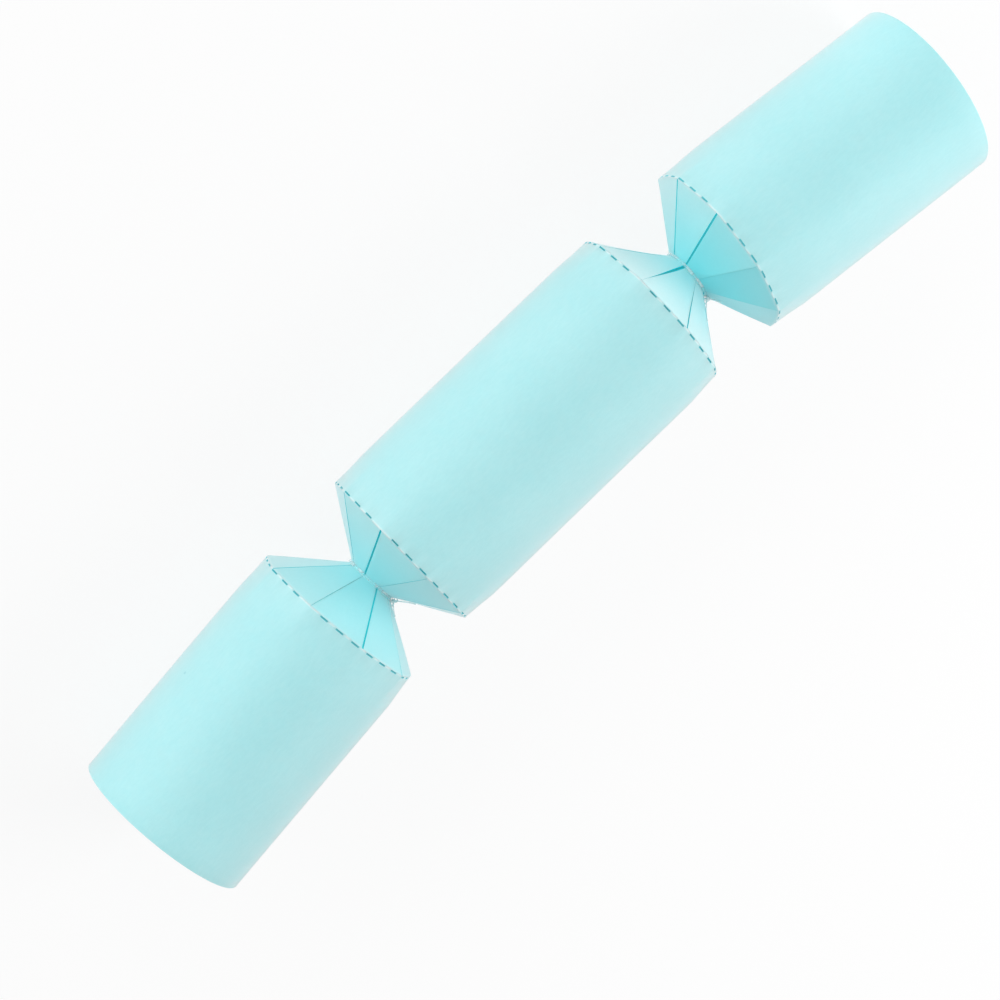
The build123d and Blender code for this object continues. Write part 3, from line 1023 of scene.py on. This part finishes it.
disc_middle, disc_half = node_middle("top_disc")
peg_middle, _ = node_middle("top_peg")
DISC_R = disc_half.z
GROOVE = 0.35
DISC_EASE = 0.35
PEG_EASE = 0.3
DISC_SIDE = (
    (-3.5, 1.25), (-3.5, 2.1), (-3.35, 2.3), (-3.35, 2.6), (-3.45, 3.0), (-2.7, 5.2), (-2.45, 5.3),
    (-2.35, 5.9), (-2.0, DISC_R), (-0.45, DISC_R), (-0.3, DISC_R - GROOVE),
)
disc_outline = eased(DISC_SIDE + tuple((-along, radius) for along, radius in reversed(DISC_SIDE)), DISC_EASE)
painted = wood_material("painted_wood", PAINT_LIGHT, PAINT_DARK, rough_low=0.25, rough_high=0.4, coat=0.5)
disc = turned("turned_disc", "top_disc", disc_outline, disc_middle, painted)
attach(disc, "top")
PEG_SIDE = (
    (-9.5, 0.0), (-9.5, 0.35), (-6.5, 1.2), (5.6, 1.2), (5.75, 1.05), (6.05, 1.05), (6.2, 1.2),
    (9.5, 1.2), (9.5, 0.0),
)
peg_outline = eased(PEG_SIDE, PEG_EASE)
bare = wood_material("plain_wood", WOOD_LIGHT, WOOD_DARK, rough_low=0.5, rough_high=0.65, coat=0.0)
peg = turned("turned_peg", "top_peg", peg_outline, peg_middle, bare, sides=32)
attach(peg, "top")


# Floor, light and camera


FLOOR_HALF = 0.9
FLOOR_Z = -0.0002
FLOOR_GLOW = 0.87
WORLD_LIGHT = 0.49


def white_floor():
    """A white floor that shows as white but keeps part of the shadow that falls on it."""
    n = Nodes("floor_white")
    n.set(Base_Color=(0.9, 0.9, 0.9, 1), Roughness=0.9)
    glow = n.add("ShaderNodeEmission")
    glow.inputs["Strength"].default_value = 1.0
    path = n.add("ShaderNodeLightPath")
    seen = n.math("MAXIMUM", path.outputs["Is Camera Ray"], path.outputs["Is Glossy Ray"])
    seen = n.math("MAXIMUM", seen, path.outputs["Is Transmission Ray"])
    mixer = n.add("ShaderNodeMixShader")
    n.link(n.math("MULTIPLY", seen, FLOOR_GLOW), mixer.inputs["Fac"])
    n.link(n.shader.outputs["BSDF"], mixer.inputs[1])
    n.link(glow.outputs["Emission"], mixer.inputs[2])
    n.link(mixer.outputs["Shader"], n.tree.nodes["Material Output"].inputs["Surface"])
    mesh = bpy.data.meshes.new("floor")
    corners = [(x * FLOOR_HALF, y * FLOOR_HALF, 0) for x, y in ((-1, -1), (1, -1), (1, 1), (-1, 1))]
    mesh.from_pydata(corners, [], [(0, 1, 2, 3)])
    mesh.materials.append(n.material)
    floor_piece = bpy.data.objects.new("floor", mesh)
    floor_piece.location.z = FLOOR_Z
    bpy.context.scene.collection.objects.link(floor_piece)


def white_world(strength):
    """White all round where it is seen, and a softer white as light."""
    world = bpy.data.worlds.new("studio")
    world.use_nodes = True
    tree = world.node_tree
    background = tree.nodes["Background"]
    background.inputs["Color"].default_value = (1, 1, 1, 1)
    path = tree.nodes.new("ShaderNodeLightPath")
    level = tree.nodes.new("ShaderNodeMapRange")
    level.inputs["To Min"].default_value = strength
    level.inputs["To Max"].default_value = 1.0
    seen = tree.nodes.new("ShaderNodeMath")
    seen.operation = "MAXIMUM"
    tree.links.new(path.outputs["Is Camera Ray"], seen.inputs[0])
    tree.links.new(path.outputs["Is Transmission Ray"], seen.inputs[1])
    tree.links.new(seen.outputs["Value"], level.inputs["Value"])
    tree.links.new(level.outputs["Result"], background.inputs["Strength"])
    bpy.context.scene.world = world


def soft_box(name, place, aim, size, power):
    lamp = bpy.data.lights.new(name, "AREA")
    lamp.shape = "RECTANGLE"
    lamp.size, lamp.size_y = size
    lamp.energy = power
    holder = bpy.data.objects.new(name, lamp)
    holder.location = place
    holder.rotation_euler = (Vector(aim) - Vector(place)).to_track_quat("-Z", "Y").to_euler()
    bpy.context.scene.collection.objects.link(holder)


white_floor()
white_world(WORLD_LIGHT)
soft_box("key", place=(0.45, -0.49, 0.41), aim=(0.07, 0, 0.02), size=(0.5, 0.5), power=3.9)
soft_box("side", place=(-0.1, 0.95, 0.37), aim=(0.0, 0, 0.02), size=(1.5, 0.45), power=6.9)

# The photograph's view: where the camera stands, its right and its back
CAMERA_AT = (-0.0433, 0.3535, 0.5227)
CAMERA_RIGHT = (0.7191, -0.5431, 0.4336)
CAMERA_BACK = (-0.0445, 0.5867, 0.8086)
CAMERA_LENS = 93.6

camera_data = bpy.data.cameras.new("camera")
camera_data.sensor_width = 36.0
camera_data.lens = CAMERA_LENS
camera_data.clip_start = 0.01
camera = bpy.data.objects.new("camera", camera_data)
back = Vector(CAMERA_BACK)
up = back.cross(Vector(CAMERA_RIGHT)).normalized()
right = up.cross(back).normalized()
turn = Matrix((right, up, back.normalized())).transposed().to_4x4()
camera.matrix_world = Matrix.Translation(CAMERA_AT) @ turn
bpy.context.scene.collection.objects.link(camera)
bpy.context.scene.camera = camera

bpy.context.scene.view_settings.view_transform = "Standard"
